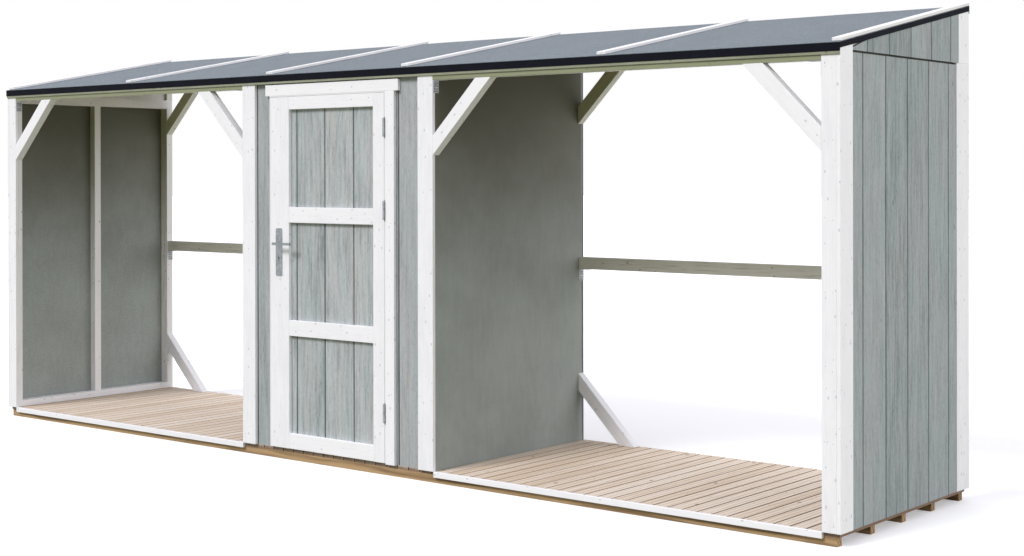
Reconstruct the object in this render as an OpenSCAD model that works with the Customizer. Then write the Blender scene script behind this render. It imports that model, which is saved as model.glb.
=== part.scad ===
// Garden log store: two open log bays either side of a closed tool cupboard,
// under one lean-to roof that rises to the back. Lengths in millimetres.

/* [Overall] */
// Length over the end walls
length = 5500; // [5000:10:6200]
// Depth from the front of the posts to the back of the corner boards
depth = 1196; // [1100:1:1400]
// Height of the roof's underside above the floor, at the front
eave_h = 1864; // [1864:1:2100]
// Slope of the roof in degrees
roof_pitch = 10.9; // [9:0.1:14]

/* [Floor] */
// Side of the square runners under the floor
runner_s = 38; // [34:1:60]
// Number of runners
runner_count = 5; // [3:1:7]
// Setback of the runners' ends from the end walls' faces
runner_inset = 25; // [15:1:60]
// Setback of the last runner from the back
runner_back = 19; // [0:1:30]
// Thickness of the floor boards
floor_t = 16; // [12:1:24]
// Setback of the floor's ends from the end walls' faces
floor_inset = 15; // [5:1:40]
// Thickness of the sill strips across the bays
sill_t = 18; // [12:1:24]
// Height of the sill strips
sill_h = 26; // [18:1:40]

/* [End walls] */
// Thickness of the end walls' boarding
end_board_t = 14; // [12:1:16]
// Thickness of the sheets that line the end walls
lining_t = 4; // [3:1:6]
// Thickness of the corner boards
corner_t = 18; // [16:1:22]
// Width of the corner boards at the front
corner_front_w = 104; // [80:1:140]
// Width of the corner boards at the back
corner_back_w = 128; // [100:1:160]
// Reach of those boards behind the posts
back_lap = 24; // [0:1:26]
// Width of the corner posts along the front
post_w = 60; // [45:1:80]
// Thickness of the framing timber
frame_t = 45; // [40:1:60]
// Height of the bottom rails
bottom_rail_h = 38; // [30:1:60]
// Height of the top rails
top_rail_h = 55; // [40:1:70]
// How far the gables stand out from the end walls
gable_out = 4; // [2:1:6]
// How far the gables come down below the roof's front height
gable_drop = 3; // [0:1:6]
// Gap between a gable and the boarding under it
drip_gap = 8; // [4:1:12]
// Width of the boards at the back of the gables
gable_board_w = 107; // [90:1:180]

/* [Cupboard] */
// Width of the cupboard over its side sheets
cupboard_w = 1316; // [1250:2:1500]
// Thickness of the side sheets
sheet_t = 12; // [9:1:18]
// Thickness of the boarding on the cupboard's front and back
wall_t = 18; // [14:1:20]
// Width of the upright boards that cover the cupboard's front corners
trim_w = 95; // [80:1:100]
// Thickness of the cover boards and of the door's face boards
trim_t = 18; // [14:1:22]

/* [Doorway] */
// Left side of the doorway from the store's centre line
doorway_left = -453; // [-460:1:-440]
// Width of the doorway
doorway_w = 806; // [780:1:820]
// Height of the doorway above the floor
doorway_h = 1779; // [1700:1:1785]
// Width of the casing on the hinge side
casing_w = 58; // [45:1:80]
// Height of the board over the doorway
head_trim_h = 56; // [40:1:58]
// Reach of the board past the doorway on the lock side
head_trim_left = 31; // [10:1:60]
// Reach of the board past the doorway on the hinge side
head_trim_right = 85; // [60:1:100]
// Width of the jambs behind the boarding
jamb_w = 45; // [40:1:60]
// Width of the rebate that the door closes against
stop_w = 20; // [12:1:25]

/* [Door] */
// Gap around the leaf
door_gap = 6; // [6:0.5:8]
// Gap over the leaf
head_gap = 7; // [6:0.5:10]
// Width of the stile on the lock side
lock_stile_w = 136; // [110:1:150]
// Width of the stile on the hinge side
hinge_stile_w = 72; // [60:1:90]
// Height of the top rail
top_rail = 64; // [50:1:80]
// Height of the two middle rails
mid_rail = 78; // [60:1:90]
// Height of the bottom rail
bottom_rail = 77; // [60:1:100]
// Thickness of the boards behind the stiles and rails
door_board_t = 18; // [12:1:20]

/* [Hinges and handle] */
// Length of a hinge
hinge_l = 90; // [80:1:110]
// Radius of the hinge knuckles
knuckle_r = 5.5; // [5.5:0.1:6]
// Heights of the three hinges' middles above the floor
hinge_heights = [244, 1211, 1607]; // [100:1:1700]
// Height of the lever's spindle above the floor
lever_h = 1034; // [900:1:1100]
// Distance of the spindle from the leaf's lock edge
backset = 65; // [60:1:75]
// Length of the lever from its spindle
lever_l = 123; // [100:1:130]
// Width of the handle's long plates
plate_w = 46; // [40:1:50]
// Height of the handle's long plates
plate_h = 240; // [200:1:260]
// Height of the plates' tops above the spindle
plate_above = 77; // [60:1:100]
// Reach of the lever in front of the door
lever_out = 46; // [44:1:60]

/* [Frame] */
// Height of the front beams' underside above the floor
front_beam_h = 1820; // [1780:1:1830]
// Height of the back beam above its underside, at its front
back_beam_depth = 90; // [70:1:120]
// Height of the back rails' underside above the floor
rail_h = 890; // [800:1:1000]
// Height of the back rails themselves
rail_w = 62; // [50:1:90]
// Thickness of the back rails
rail_t = 38; // [30:1:45]
// Length of each leg of the angle plates under the beams and rails
bracket_leg = 60; // [45:1:80]
// Width of those angle plates
bracket_w = 38; // [30:1:38]
// Thickness of those angle plates
bracket_t = 2.5; // [2:0.5:4]
// Reach of the braces along post and beam
brace_leg = 350; // [280:1:380]
// Width of the braces
brace_w = 64; // [50:1:80]

/* [Roof] */
// Thickness of the roof boarding
deck_t = 22; // [18:1:28]
// Thickness of the roofing felt
felt_t = 3; // [2:0.5:4]
// Thickness of the felt turned down over the edges
felt_edge_t = 2; // [2:0.5:3]
// Depth of the felt turned down over the eaves
eave_drop = 33; // [33:1:45]
// Width of the battens that hold the felt
batten_w = 45; // [35:1:60]
// Thickness of those battens
batten_t = 13; // [10:1:22]
// Setback of the battens' front ends from the eave
batten_inset = 20; // [0:1:40]
// Distance of the outer pair of inner battens from the centre line
batten_far = 1612; // [1500:1:1700]
// Distance of the inner pair from the centre line
batten_near = 470; // [400:1:550]
// Thickness of the front fascia
fascia_t = 6; // [5:1:20]
// Height of the front fascia's underside above the floor
fascia_h = 1840; // [1836:1:1845]
// Depth of the rafters
rafter_depth = 46; // [40:1:60]

/* [Hidden] */
$fn = 48;

white = "#e9ebeb";
boarding = "#9aa3a5";
sheet = "#828682";
felt_blue = "#8c949c";
edge_black = "#1b1c22";
floor_wood = "#cdb9a6";
runner_wood = "#a5845a";
metal = "#8b8f92";

slope = tan(roof_pitch);
// Play between faces that meet on the slope, so that no two solids share space.
seat_gap = 0.05;
half_l = length / 2;
half_c = cupboard_w / 2;
floor_z = runner_s + floor_t;
eave_out = fascia_t + felt_edge_t;
// The origin is at the middle of the whole box, from the lever's tip to the back eave.
front_y = -(depth + felt_edge_t - lever_out) / 2;

board_in = half_l - corner_t;
post_out = board_in - lining_t;
post_in = post_out - post_w;
stud_in = post_out - frame_t;
wall_out = board_in + end_board_t;
roof_half = wall_out + gable_out;
gable_h = eave_h - gable_drop;
felt_lift = deck_t + seat_gap;
back_y = depth - back_lap;
back_in = back_y - frame_t;
rail_y = back_y - rail_t;
back_beam_h = eave_h + back_in * slope - back_beam_depth;
top_rail_under = eave_h - top_rail_h;
gable_end = depth - gable_board_w;

clad_y = trim_t;
clad_back = clad_y + wall_t;
cupboard_in = back_y - wall_t;
doorway_right = doorway_left + doorway_w;
leaf_left = doorway_left + door_gap;
leaf_right = doorway_right - door_gap;
leaf_top = doorway_h - head_gap;
leaf_t = trim_t + door_board_t;
// The jambs' rebate starts this far behind the leaf.
stop_gap = 5;
panel_h = (leaf_top - door_gap - top_rail - 2 * mid_rail - bottom_rail) / 3;

pivot_x = doorway_right - door_gap / 2;
pivot_y = -knuckle_r;
pin_r = 3;
pin_clearance = 0.05;
hinge_plate_t = 2;
hinge_plate_w = 30;
knuckle_gap = 0.5;
// The plates' tabs start this far behind the pin's axis, inside the knuckle.
tab_setback = 2;
// Holes are cut this far past the faces that they go through.
overrun = 1;

spindle_x = leaf_left + backset;
spindle_r = 5;
spindle_hole_r = 10;
plate_hole_r = 6;
plate_t = 3;
neck_r = 6.5;
lever_t = 10;
lever_gap = 0.5;

// Moves what is inside from the posts' front and the floor's top to the part's own frame.
module placed() {
    translate([0, front_y, floor_z]) children();
}

// Height of the roof's underside above the floor, at a distance behind the posts' front.
function roof_under(y) = eave_h + y * slope;

// A block between two corners.
module block(x, y, z) {
    translate([x[0], y[0], z[0]]) cube([x[1] - x[0], y[1] - y[0], z[1] - z[0]]);
}

// An outline in depth and height, carried along the length.
module along_x(x, points) {
    translate([x[0], 0, 0]) rotate([90, 0, 90]) linear_extrude(x[1] - x[0]) polygon(points);
}

// An outline in length and height, carried through the depth.
module along_y(y, points) {
    translate([0, y[1], 0]) rotate([90, 0, 0]) linear_extrude(y[1] - y[0]) polygon(points);
}

// A block that runs up to the roof's underside, with its top cut to the slope.
module under_roof(x, y, z) {
    along_x(x, [
        [y[0], z], [y[1], z],
        [y[1], roof_under(y[1]) - seat_gap], [y[0], roof_under(y[0]) - seat_gap]
    ]);
}

// A slab that lies on the roof's slope, raised by a distance square to it.
module on_slope(x, y, raised, thick) {
    low = raised / cos(roof_pitch);
    high = (raised + thick) / cos(roof_pitch);
    along_x(x, [
        [y[0], roof_under(y[0]) + low], [y[1], roof_under(y[1]) + low],
        [y[1], roof_under(y[1]) + high], [y[0], roof_under(y[0]) + high]
    ]);
}

// The same piece at the right end and, mirrored, at the left end.
module at_both_ends() {
    children();
    mirror([1, 0, 0]) children();
}

module runners() {
    pitch = (depth - runner_back - runner_s - sill_t) / (runner_count - 1);
    reach = half_l - runner_inset;
    color(runner_wood) placed() for (i = [0 : runner_count - 1])
        translate([0, sill_t + i * pitch, 0]) block([-reach, reach], [0, runner_s], [-floor_z, -floor_t]);
}

module floor_part(x) {
    color(floor_wood) placed() block(x, [sill_t, depth - runner_back], [-floor_t, 0]);
}

module floor_left() {
    floor_part([-half_l + floor_inset, -half_c]);
}

module floor_cupboard() {
    floor_part([-half_c, half_c]);
}

module floor_right() {
    floor_part([half_c, half_l - floor_inset]);
}

module front_sills() {
    color(white) placed() at_both_ends() block([half_c, post_in], [0, sill_t], [-sill_h, 0]);
}

// The corner posts stand between the end walls' rails, and short ones on the top rails carry the back beam.
module corner_posts() {
    color(white) placed() at_both_ends() {
        block([post_in, post_out], [trim_t, frame_t], [bottom_rail_h, top_rail_under]);
        block([post_in, post_out], [back_in, back_y], [bottom_rail_h, top_rail_under]);
        block([post_in, post_out], [back_in, back_y], [eave_h, back_beam_h - seat_gap]);
    }
}

module corner_boards() {
    color(white) placed() at_both_ends() {
        under_roof([board_in, half_l], [0, corner_front_w], 0);
        block([board_in, half_l], [depth - corner_back_w, depth], [0, gable_h]);
    }
}

module end_wall_linings() {
    color(sheet) placed() at_both_ends() block([post_out, board_in], [trim_t, back_y], [0, eave_h]);
}

module end_wall() {
    color(boarding) placed()
        block([board_in, wall_out], [corner_front_w, depth - corner_back_w], [0, gable_h - drip_gap]);
}

module wall_left() {
    mirror([1, 0, 0]) end_wall();
}

module wall_right() {
    end_wall();
}

module end_wall_rails() {
    color(white) placed() at_both_ends() {
        block([post_in, post_out], [trim_t, back_y], [0, bottom_rail_h]);
        block([post_in, post_out], [trim_t, back_y], [top_rail_under, eave_h]);
    }
}

module end_wall_studs() {
    middle = (depth - frame_t) / 2;
    color(white) placed() at_both_ends()
        block([stud_in, post_out], [middle, middle + frame_t], [bottom_rail_h, top_rail_under]);
}

module gable() {
    color(boarding) placed() under_roof([board_in, roof_half], [corner_front_w, gable_end], gable_h);
}

module gable_left() {
    mirror([1, 0, 0]) gable();
}

module gable_right() {
    gable();
}

module gable_back_boards() {
    color(white) placed() at_both_ends() under_roof([board_in, roof_half], [gable_end, depth], gable_h);
}

// Wedges on the end walls' top rails, which fill the gables inside and carry the roof's ends.
module gable_frames() {
    color(white) placed() at_both_ends()
        under_roof([board_in - frame_t, board_in], [trim_t, back_in], eave_h);
}

// The side sheet is notched at the back for the boarding, under the back beam.
module cupboard_side() {
    color(sheet) placed() along_x([half_c - sheet_t, half_c], [
        [trim_t, 0], [cupboard_in, 0], [cupboard_in, back_beam_h], [back_in, back_beam_h],
        [back_in, roof_under(back_in) - seat_gap], [trim_t, roof_under(trim_t) - seat_gap]
    ]);
}

module cupboard_wall_left() {
    mirror([1, 0, 0]) cupboard_side();
}

module cupboard_wall_right() {
    cupboard_side();
}

module cupboard_wall_back() {
    color(boarding) placed() block([-half_c, half_c], [cupboard_in, back_y], [0, back_beam_h]);
}

module cupboard_front_left() {
    color(boarding) placed() under_roof([sheet_t - half_c, doorway_left], [clad_y, clad_back], 0);
}

module cupboard_front_right() {
    color(boarding) placed() under_roof([doorway_right, half_c - sheet_t], [clad_y, clad_back], 0);
}

module cupboard_front_over_door() {
    color(boarding) placed() under_roof([doorway_left, doorway_right], [clad_y, clad_back], doorway_h);
}

module cupboard_studs() {
    outer = half_c - sheet_t;
    color(white) placed() at_both_ends() {
        block([outer - frame_t, outer], [clad_back, clad_back + frame_t], [0, doorway_h]);
        block([outer - frame_t, outer], [cupboard_in - frame_t, cupboard_in], [0, back_beam_h]);
    }
}

// A jamb seen from above: its rebate lets the leaf close without touching.
module jamb_outline() {
    polygon([
        [0, clad_back], [0, clad_back + stop_gap], [-stop_w, clad_back + stop_gap],
        [-stop_w, clad_back + frame_t], [jamb_w, clad_back + frame_t], [jamb_w, clad_back]
    ]);
}

module door_jambs() {
    color(white) placed() {
        translate([doorway_right, 0, 0]) linear_extrude(doorway_h) jamb_outline();
        translate([doorway_left, 0, 0]) mirror([1, 0, 0]) linear_extrude(doorway_h) jamb_outline();
    }
}

// The lintel spans the cupboard on top of the jambs and studs.
module door_lintel() {
    reach = half_c - sheet_t;
    color(white) placed() under_roof([-reach, reach], [clad_back, clad_back + frame_t], doorway_h);
}

module front_trims() {
    color(white) placed() {
        at_both_ends() {
            block([half_c - trim_w, half_c], [0, trim_t], [0, eave_h]);
            block([post_in, board_in], [0, trim_t], [0, eave_h]);
        }
        block([doorway_right, doorway_right + casing_w], [0, trim_t], [0, doorway_h]);
    }
}

module door_head_trim() {
    color(white) placed() block([doorway_left - head_trim_left, doorway_right + head_trim_right],
                                [0, trim_t], [doorway_h, doorway_h + head_trim_h]);
}

module front_beams() {
    color(white) placed() at_both_ends() under_roof([half_c, post_in], [0, frame_t], front_beam_h);
}

module back_beam() {
    color(white) placed() under_roof([-board_in, board_in], [back_in, back_y], back_beam_h);
}

module back_rails() {
    color(white) placed() at_both_ends()
        block([half_c, post_in], [rail_y, back_y], [rail_h, rail_h + rail_w]);
}

// An angle plate in a corner at the origin: one leg along the timber over it, one down the post.
module bracket() {
    block([0, bracket_t], [0, bracket_w], [-bracket_leg, 0]);
    block([bracket_t, bracket_leg], [0, bracket_w], [-bracket_t, 0]);
}

// An angle plate at each end of a bay, under a timber at a given height.
module bay_brackets(y, top) {
    translate([half_c, y, top]) bracket();
    translate([post_in, y, top]) mirror([1, 0, 0]) bracket();
}

module beam_brackets() {
    color(metal) placed() at_both_ends() bay_brackets((frame_t - bracket_w) / 2, front_beam_h);
}

module rail_brackets() {
    color(metal) placed() at_both_ends() bay_brackets(rail_y, rail_h);
}

// A brace across a square corner at the origin, between the two arms.
module brace_outline() {
    inner = brace_leg - brace_w * sqrt(2);
    polygon([[inner, 0], [brace_leg, 0], [0, brace_leg], [0, inner]]);
}

// A pair of braces in a bay's two corners; up is -1 under a beam and 1 on the floor.
module bay_braces(y, h, up) {
    for (side = [1, -1])
        translate([side > 0 ? half_c : post_in, y + frame_t, h])
            mirror([side > 0 ? 0 : 1, 0, 0]) rotate([90, 0, 0]) linear_extrude(frame_t)
                mirror([0, up > 0 ? 0 : 1, 0]) brace_outline();
}

module front_braces() {
    color(white) placed() at_both_ends() bay_braces(0, front_beam_h, -1);
}

module back_upper_braces() {
    color(white) placed() at_both_ends() bay_braces(back_in, back_beam_h, -1);
}

module back_lower_braces() {
    color(white) placed() at_both_ends() bay_braces(back_in, 0, 1);
}

// A rafter under the deck, from the front timber to the back beam.
module rafter(x, y) {
    along_x([x - frame_t / 2, x + frame_t / 2], [
        [y, roof_under(y) - rafter_depth], [back_in, roof_under(back_in) - rafter_depth],
        [back_in, roof_under(back_in) - seat_gap], [y, roof_under(y) - seat_gap]
    ]);
}

module rafters() {
    color(white) placed() {
        at_both_ends() rafter((half_c + post_in) / 2, frame_t);
        rafter(0, clad_back + frame_t);
    }
}

module roof_deck() {
    color(floor_wood) placed() on_slope([-roof_half, roof_half], [-fascia_t, depth], 0, deck_t);
}

module roof_felt() {
    reach = roof_half + felt_edge_t;
    color(felt_blue) placed()
        on_slope([-reach, reach], [-eave_out, depth + felt_edge_t], felt_lift, felt_t);
}

// A strip of felt turned down over one eave, at a distance behind the posts' front.
module eave_strip(y) {
    reach = roof_half + felt_edge_t;
    y_high = y + felt_edge_t;
    rise = deck_t / cos(roof_pitch);
    along_x([-reach, reach], [
        [y, roof_under(y) + rise - eave_drop], [y_high, roof_under(y) + rise - eave_drop],
        [y_high, roof_under(y_high) + rise - seat_gap], [y, roof_under(y) + rise - seat_gap]
    ]);
}

module felt_eaves() {
    color(edge_black) placed() {
        eave_strip(-eave_out);
        eave_strip(depth);
    }
}

module felt_verges() {
    color(edge_black) placed() at_both_ends()
        on_slope([roof_half, roof_half + felt_edge_t], [-fascia_t, depth], 0, deck_t - seat_gap);
}

// A thin fascia under the front eave, and a thick one that covers the back beam.
module fascia_boards() {
    color(white) placed() {
        under_roof([-half_l, half_l], [-fascia_t, 0], fascia_h);
        under_roof([-board_in, board_in], [back_y, depth], back_beam_h);
    }
}

module roof_battens() {
    verge = roof_half + felt_edge_t - batten_w / 2;
    color(white) placed() at_both_ends() for (x = [batten_near, batten_far, verge])
        on_slope([x - batten_w / 2, x + batten_w / 2], [batten_inset - eave_out, depth + felt_edge_t],
                 felt_lift + felt_t + seat_gap, batten_t);
}

// A hole round the spindle, cut right through what lies between two depths.
module spindle_bore(y, r) {
    translate([spindle_x, y[0] - overrun, lever_h]) rotate([-90, 0, 0])
        cylinder(h = y[1] - y[0] + 2 * overrun, r = r);
}

module door_stiles() {
    color(white) placed() {
        difference() {
            block([leaf_left, leaf_left + lock_stile_w], [0, trim_t], [door_gap, leaf_top]);
            spindle_bore([0, trim_t], spindle_hole_r);
        }
        block([leaf_right - hinge_stile_w, leaf_right], [0, trim_t], [door_gap, leaf_top]);
    }
}

module door_rails() {
    x = [leaf_left + lock_stile_w, leaf_right - hinge_stile_w];
    step = panel_h + mid_rail;
    first = door_gap + bottom_rail + panel_h;
    color(white) placed() {
        block(x, [0, trim_t], [door_gap, door_gap + bottom_rail]);
        for (i = [0, 1])
            block(x, [0, trim_t], [first + i * step, first + i * step + mid_rail]);
        block(x, [0, trim_t], [leaf_top - top_rail, leaf_top]);
    }
}

module door_boards() {
    color(boarding) placed() difference() {
        block([leaf_left, leaf_right], [trim_t, leaf_t], [door_gap, leaf_top]);
        spindle_bore([trim_t, leaf_t], spindle_hole_r);
    }
}

// A long plate with a hole for the spindle, its back at the door's face.
module handle_plate(y) {
    difference() {
        block([spindle_x - plate_w / 2, spindle_x + plate_w / 2], [y, y + plate_t],
              [lever_h + plate_above - plate_h, lever_h + plate_above]);
        spindle_bore([y, y + plate_t], plate_hole_r);
    }
}

module handle_plates() {
    color(metal) placed() {
        handle_plate(-plate_t);
        handle_plate(leaf_t);
    }
}

// One half of each hinge: a plate in the gap and the tab that carries its knuckle.
module hinge_half(x, low) {
    half = hinge_l / 2;
    lift = low ? 0 : half + knuckle_gap / 2;
    high = half - knuckle_gap / 2;
    block([x, x + hinge_plate_t], [knuckle_gap, hinge_plate_w], [0, hinge_l]);
    block([x, x + hinge_plate_t], [pivot_y + tab_setback, knuckle_gap], [lift, lift + high]);
}

module hinge_frame_leaves() {
    color(metal) placed() for (h = hinge_heights) translate([0, 0, h - hinge_l / 2]) {
        hinge_half(doorway_right - hinge_plate_t, true);
        translate([pivot_x, pivot_y, 0]) {
            cylinder(h = hinge_l / 2 - knuckle_gap / 2, r = knuckle_r);
            cylinder(h = hinge_l, r = pin_r);
        }
    }
}

module hinge_door_leaves() {
    lift = hinge_l / 2 + knuckle_gap / 2;
    color(metal) placed() for (h = hinge_heights) translate([0, 0, h - hinge_l / 2]) difference() {
        union() {
            hinge_half(leaf_right, false);
            translate([pivot_x, pivot_y, lift]) cylinder(h = hinge_l - lift, r = knuckle_r);
        }
        translate([pivot_x, pivot_y, lift - overrun]) cylinder(h = hinge_l, r = pin_r + pin_clearance);
    }
}

// A lever: a round neck out from the plate, and an arm towards the hinges.
module lever(neck) {
    translate([spindle_x, 0, lever_h]) rotate([90, 0, 0]) {
        cylinder(h = neck, r = neck_r);
        translate([0, 0, neck - lever_t]) {
            translate([0, -neck_r, 0]) cube([lever_l - neck_r, 2 * neck_r, lever_t]);
            translate([lever_l - neck_r, 0, 0]) cylinder(h = lever_t, r = neck_r);
        }
    }
}

module lever_outer() {
    start = plate_t + lever_gap;
    color(metal) placed() translate([0, -start, 0]) lever(lever_out - start);
}

module lever_inner() {
    start = plate_t + lever_gap;
    color(metal) placed() translate([0, leaf_t + start, 0]) mirror([0, 1, 0]) lever(lever_out - start);
}

module lever_spindle() {
    start = plate_t + lever_gap;
    color(metal) placed() translate([spindle_x, -start, lever_h]) rotate([-90, 0, 0])
        cylinder(h = leaf_t + 2 * start, r = spindle_r);
}

runners();
floor_left();
floor_cupboard();
floor_right();
front_sills();
corner_posts();
corner_boards();
end_wall_linings();
wall_left();
wall_right();
end_wall_rails();
end_wall_studs();
gable_left();
gable_right();
gable_back_boards();
gable_frames();
cupboard_wall_left();
cupboard_wall_right();
cupboard_wall_back();
cupboard_front_left();
cupboard_front_right();
cupboard_front_over_door();
cupboard_studs();
door_jambs();
door_lintel();
front_trims();
door_head_trim();
front_beams();
back_beam();
back_rails();
beam_brackets();
rail_brackets();
front_braces();
back_upper_braces();
back_lower_braces();
rafters();
roof_deck();
roof_felt();
felt_eaves();
felt_verges();
fascia_boards();
roof_battens();
door_stiles();
door_rails();
door_boards();
handle_plates();
hinge_frame_leaves();
hinge_door_leaves();
lever_outer();
lever_inner();
lever_spindle();
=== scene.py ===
import math
import random

import bmesh
import bpy
from mathutils import Matrix, Vector, noise


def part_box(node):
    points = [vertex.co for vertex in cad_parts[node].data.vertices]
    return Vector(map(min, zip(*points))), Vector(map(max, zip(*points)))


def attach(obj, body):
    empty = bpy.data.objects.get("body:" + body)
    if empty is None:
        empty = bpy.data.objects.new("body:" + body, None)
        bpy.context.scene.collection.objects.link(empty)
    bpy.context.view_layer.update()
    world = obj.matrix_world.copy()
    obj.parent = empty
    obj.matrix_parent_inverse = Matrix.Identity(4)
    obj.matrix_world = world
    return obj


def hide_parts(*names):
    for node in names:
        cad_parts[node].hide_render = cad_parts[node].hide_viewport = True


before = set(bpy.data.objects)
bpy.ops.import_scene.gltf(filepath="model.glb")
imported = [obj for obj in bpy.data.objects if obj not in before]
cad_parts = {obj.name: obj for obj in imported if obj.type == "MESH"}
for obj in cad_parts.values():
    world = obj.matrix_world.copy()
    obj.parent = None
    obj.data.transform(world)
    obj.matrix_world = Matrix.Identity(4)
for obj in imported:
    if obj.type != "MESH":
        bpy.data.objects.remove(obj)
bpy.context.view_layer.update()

scene = bpy.context.scene

# ---- The camera ------------------------------------------------------------
# It stands off the front right corner, a little below eye height, and looks along
# the whole store. The view is almost level; a small shift keeps it all in the frame.
camera_data = bpy.data.cameras.new("camera")
camera_data.sensor_width = 36.0
camera_data.lens = 56.587
camera_data.shift_y = -0.0978
camera_data.clip_end = 200.0
camera = bpy.data.objects.new("camera", camera_data)
camera.location = (5.6551, -6.1383, 1.4367)
camera.rotation_euler = (math.pi / 2 - 0.0024, 0.0017, 0.6826)
scene.collection.objects.link(camera)
scene.camera = camera
scene.view_settings.view_transform = "Standard"


# ---- The light and the studio floor ----------------------------------------
# A sky that is a little brighter overhead, a wide soft lamp at the front left, and
# weaker ones at the right and behind. The floor looks white and throws up olive.
def tone(red, green, blue):
    """A colour as it looks on a screen, 0 to 255, in the renderer's linear values."""
    return tuple(
        (v / 255 / 12.92) if v / 255 <= 0.04045 else ((v / 255 + 0.055) / 1.055) ** 2.4
        for v in (red, green, blue)
    ) + (1.0,)


class Wire:
    """One socket of a node diagram. A sum or a product of wires adds Math nodes."""

    def __init__(self, diagram, socket):
        self.diagram = diagram
        self.socket = socket

    def _math(self, operation, *values):
        return self.diagram.node("ShaderNodeMath", {"operation": operation}, dict(enumerate(values)))

    def __add__(self, other):
        return self._math("ADD", self, other)

    def __sub__(self, other):
        return self._math("SUBTRACT", self, other)

    def __rsub__(self, other):
        return self._math("SUBTRACT", other, self)

    def __mul__(self, other):
        return self._math("MULTIPLY", self, other)

    def __truediv__(self, other):
        return self._math("DIVIDE", self, other)

    def __lt__(self, other):
        return self._math("LESS_THAN", self, other)

    def __gt__(self, other):
        return self._math("GREATER_THAN", self, other)

    __radd__ = __add__
    __rmul__ = __mul__


class Diagram:
    """A node tree in which every node is one call of node()."""

    def __init__(self, tree):
        self.tree = tree

    def node(self, kind, settings={}, sockets={}, out=0):
        made = self.tree.nodes.new(kind)
        for key, value in settings.items():
            setattr(made, key, value)
        for key, value in sockets.items():
            if isinstance(key, int):
                socket = made.inputs[key]
            else:
                socket = next(s for s in made.inputs if s.name == key and s.enabled)
            if isinstance(value, Wire):
                self.tree.links.new(value.socket, socket)
            else:
                socket.default_value = value
        live = [s for s in made.outputs if s.enabled]
        if not live:
            return None
        found = live[out] if isinstance(out, int) else next(s for s in live if s.name == out)
        return Wire(self, found)


def coordinate(d, vector, axis):
    """One coordinate of a place or a direction: X, Y or Z."""
    return d.node("ShaderNodeSeparateXYZ", sockets={"Vector": vector}, out=axis)


def looked_at(d):
    """One where a thing is seen, even mirrored or through glass, and nought where it only gives light."""
    seen, glossy, through = (d.node("ShaderNodeLightPath", out=ray)
                             for ray in ("Is Camera Ray", "Is Glossy Ray", "Is Transmission Ray"))
    either = d.node("ShaderNodeMath", {"operation": "MAXIMUM"}, {0: seen, 1: glossy})
    return d.node("ShaderNodeMath", {"operation": "MAXIMUM"}, {0: either, 1: through})


sky = bpy.data.worlds.new("sky")
sky.use_nodes = True
sky.node_tree.nodes.clear()
scene.world = sky
air = Diagram(sky.node_tree)
way = air.node("ShaderNodeTexCoord", out="Generated")
height = coordinate(air, way, "Z")
overhead = air.node("ShaderNodeMapRange", {"interpolation_type": "SMOOTHSTEP"},
                    {"Value": height, "From Min": 0.0, "From Max": 0.85, "To Min": 0.32, "To Max": 0.95})
lit = air.node("ShaderNodeBackground", sockets={"Color": tone(243, 243, 255), "Strength": overhead})
plain = air.node("ShaderNodeBackground", sockets={"Color": (1, 1, 1, 1), "Strength": 1.0})
both = air.node("ShaderNodeMixShader", sockets={0: looked_at(air), 1: lit, 2: plain})
air.node("ShaderNodeOutputWorld", sockets={"Surface": both})

for name, energy, spread, heading in (("key_lamp", 2.36, 20, (0.20, 0.74, -0.70)),
                                     ("side_lamp", 0.85, 50, (-0.92, 0.05, -0.34)),
                                     ("back_lamp", 0.85, 50, (-0.82, -0.52, -0.22))):
    lamp_data = bpy.data.lights.new(name, "SUN")
    lamp_data.energy = energy
    lamp_data.angle = math.radians(spread)
    lamp_data.color = (1.0, 0.975, 1.0)
    lamp = bpy.data.objects.new(name, lamp_data)
    lamp.rotation_euler = Vector(heading).to_track_quat("-Z", "Y").to_euler()
    scene.collection.objects.link(lamp)


def finish_named(name):
    """A new material with an empty diagram."""
    material = bpy.data.materials.new(name)
    material.use_nodes = True
    material.node_tree.nodes.clear()
    return material, Diagram(material.node_tree)


floor_reach = 80.0
floor_mesh = bpy.data.meshes.new("studio_floor")
floor_mesh.from_pydata(
    [(x * floor_reach, y * floor_reach, 0) for x, y in ((-1, -1), (1, -1), (1, 1), (-1, 1))],
    [], [(0, 1, 2, 3)])
studio_floor = bpy.data.objects.new("studio_floor", floor_mesh)
scene.collection.objects.link(studio_floor)
floor_paint, d = finish_named("studio_floor")
pale = d.node("ShaderNodeBsdfDiffuse", sockets={"Color": (0.80, 0.80, 0.80, 1)})
glow = d.node("ShaderNodeEmission", sockets={"Color": (1, 1, 1, 1), "Strength": 0.30})
white_floor = d.node("ShaderNodeAddShader", sockets={0: pale, 1: glow})
olive_floor = d.node("ShaderNodeBsdfDiffuse", sockets={"Color": (0.20, 0.215, 0.12, 1)})
both = d.node("ShaderNodeMixShader", sockets={0: looked_at(d), 1: olive_floor, 2: white_floor})
d.node("ShaderNodeOutputMaterial", sockets={"Surface": both})
studio_floor.data.materials.append(floor_paint)

# ---- The runners -----------------------------------------------------------
# Five square battens of rough-sawn pine, pressure treated to a yellow brown.
# They lie on the ground along the whole store and carry the floor.


def solids_of(bm):
    """The separate solids of a mesh, each as a list of its points."""
    left = set(bm.verts)
    while left:
        start = next(v for v in bm.verts if v in left)
        left.discard(start)
        group, front = [start], [start]
        while front:
            for edge in front.pop().link_edges:
                for v in edge.verts:
                    if v in left:
                        left.discard(v)
                        group.append(v)
                        front.append(v)
        yield group


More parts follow.
